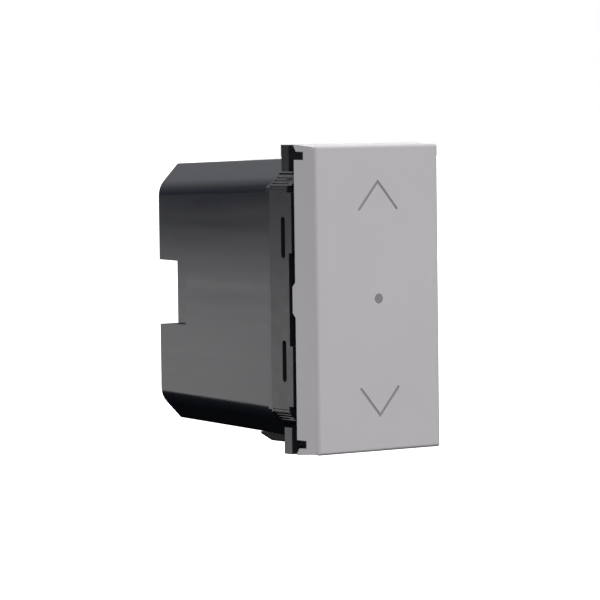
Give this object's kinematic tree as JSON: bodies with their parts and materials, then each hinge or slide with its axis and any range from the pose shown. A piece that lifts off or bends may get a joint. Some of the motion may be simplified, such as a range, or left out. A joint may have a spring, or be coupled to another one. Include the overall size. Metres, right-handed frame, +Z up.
{
  "type": "modular rocker dimmer",
  "caption": "One-module wall dimmer: pale grey push rocker with up and down arrows and a light dot, black carrier frame and deep black rear housing with screw terminals.",
  "frame": {"origin": "centre of the module in the plane where the lugs rest on the support frame", "axes": "+Z up, -Y out of the wall towards the user, +X to the right as seen by the user"},
  "size_m": [0.0226, 0.0424, 0.0452],
  "materials": {
    "cap_plastic": "satin moulded polycarbonate, pale warm grey",
    "light_pipe": "smoked clear polycarbonate, unlit",
    "frame_plastic": "black glass-filled nylon, satin",
    "housing_plastic": "black moulded polycarbonate with a slight sheen",
    "switch_plastic": "black moulded resin",
    "stem_plastic": "natural acetal",
    "board": "green solder mask on glass epoxy",
    "spring_steel": "stainless spring steel",
    "plated_steel": "zinc-plated steel",
    "tinned_metal": "tinned copper",
    "aluminium": "bare sheet",
    "brass": "tinned brass",
    "lens": "clear-white resin",
    "ferrite": "coated iron powder",
    "copper_wire": "enamelled copper",
    "yellow_case": "yellow film capacitor case",
    "blue_coating": "blue epoxy dip",
    "can_sleeve": "dark blue shrink sleeve",
    "ceramic": "glazed ceramic",
    "resistor_coating": "pale blue lacquer",
    "pad_rubber": "silicone thermal pad"
  },
  "bodies": {
    "insert": {"carrier_frame": "frame_plastic", "rear_housing": "housing_plastic", "control_board": "board", "switch_body_upper": "switch_plastic", "switch_body_lower": "switch_plastic", "snap_dome_upper": "spring_steel", "snap_dome_lower": "spring_steel", "status_led": "lens", "microcontroller": "switch_plastic", "chip_parts": "ceramic", "link_pins": "brass", "power_board": "board", "heat_spreader": "aluminium", "insulating_pad": "pad_rubber", "transistor_upper": "switch_plastic", "transistor_lower": "switch_plastic", "transistor_screws": "plated_steel", "choke_core": "ferrite", "choke_winding": "copper_wire", "film_capacitor": "yellow_case", "electrolytic_capacitor": "can_sleeve", "varistor": "blue_coating", "fuse_link": "ceramic", "bridge_rectifier": "switch_plastic", "load_resistor": "resistor_coating", "contact_bars": "tinned_metal"},
    "rocker": {"rocker_cap": "cap_plastic", "light_pipe": "light_pipe", "rocker_carrier": "frame_plastic"},
    "stem_upper": {"switch_stem_upper": "stem_plastic"},
    "stem_lower": {"switch_stem_lower": "stem_plastic"},
    "cage_1": {"terminal_cage_1": "plated_steel"},
    "screw_1": {"terminal_screw_1": "plated_steel"},
    "cage_2": {"terminal_cage_2": "plated_steel"},
    "screw_2": {"terminal_screw_2": "plated_steel"},
    "cage_3": {"terminal_cage_3": "plated_steel"},
    "screw_3": {"terminal_screw_3": "plated_steel"},
    "cage_4": {"terminal_cage_4": "plated_steel"},
    "screw_4": {"terminal_screw_4": "plated_steel"}
  },
  "joints": [
    {"name": "rocker_tilt", "type": "hinge", "parent": "insert", "child": "rocker", "pos_m": [0, -0.0032, 0], "axis": [-1, 0, 0], "range_deg": [-1.8, 1.8], "stiffness_Nm_per_rad": 1.9},
    {"name": "stem_upper_slide", "type": "slide", "parent": "insert", "child": "stem_upper", "axis": [0, 1, 0], "range_m": [-0.00038, 0.00038]},
    {"name": "stem_lower_slide", "type": "slide", "parent": "insert", "child": "stem_lower", "axis": [0, -1, 0], "range_m": [-0.00038, 0.00038]},
    {"name": "cage_1_lift", "type": "slide", "parent": "insert", "child": "cage_1", "axis": [0, 0, 1], "range_m": [0, 0.0024]},
    {"name": "screw_1_turn", "type": "hinge", "parent": "insert", "child": "screw_1", "pos_m": [-0.0041, 0.0294, 0.0166], "axis": [0, 0, -1], "range_deg": [0, 1730]},
    {"name": "cage_2_lift", "type": "slide", "parent": "insert", "child": "cage_2", "axis": [0, 0, 1], "range_m": [0, 0.0024]},
    {"name": "screw_2_turn", "type": "hinge", "parent": "insert", "child": "screw_2", "pos_m": [0.0041, 0.0294, 0.0166], "axis": [0, 0, -1], "range_deg": [0, 1730]},
    {"name": "cage_3_lift", "type": "slide", "parent": "insert", "child": "cage_3", "axis": [0, 0, -1], "range_m": [0, 0.0024]},
    {"name": "screw_3_turn", "type": "hinge", "parent": "insert", "child": "screw_3", "pos_m": [-0.0041, 0.0294, -0.0166], "axis": [0, 0, 1], "range_deg": [0, 1730]},
    {"name": "cage_4_lift", "type": "slide", "parent": "insert", "child": "cage_4", "axis": [0, 0, -1], "range_m": [0, 0.0024]},
    {"name": "screw_4_turn", "type": "hinge", "parent": "insert", "child": "screw_4", "pos_m": [0.0041, 0.0294, -0.0166], "axis": [0, 0, 1], "range_deg": [0, 1730]}
  ],
  "couplings": [
    {"joint": "stem_upper_slide", "follows": "rocker_tilt", "m_per_rad": 0.012},
    {"joint": "stem_lower_slide", "follows": "rocker_tilt", "m_per_rad": 0.012},
    {"joint": "screw_1_turn", "follows": "cage_1_lift", "rad_per_m": 12566},
    {"joint": "screw_2_turn", "follows": "cage_2_lift", "rad_per_m": 12566},
    {"joint": "screw_3_turn", "follows": "cage_3_lift", "rad_per_m": 12566},
    {"joint": "screw_4_turn", "follows": "cage_4_lift", "rad_per_m": 12566}
  ]
}
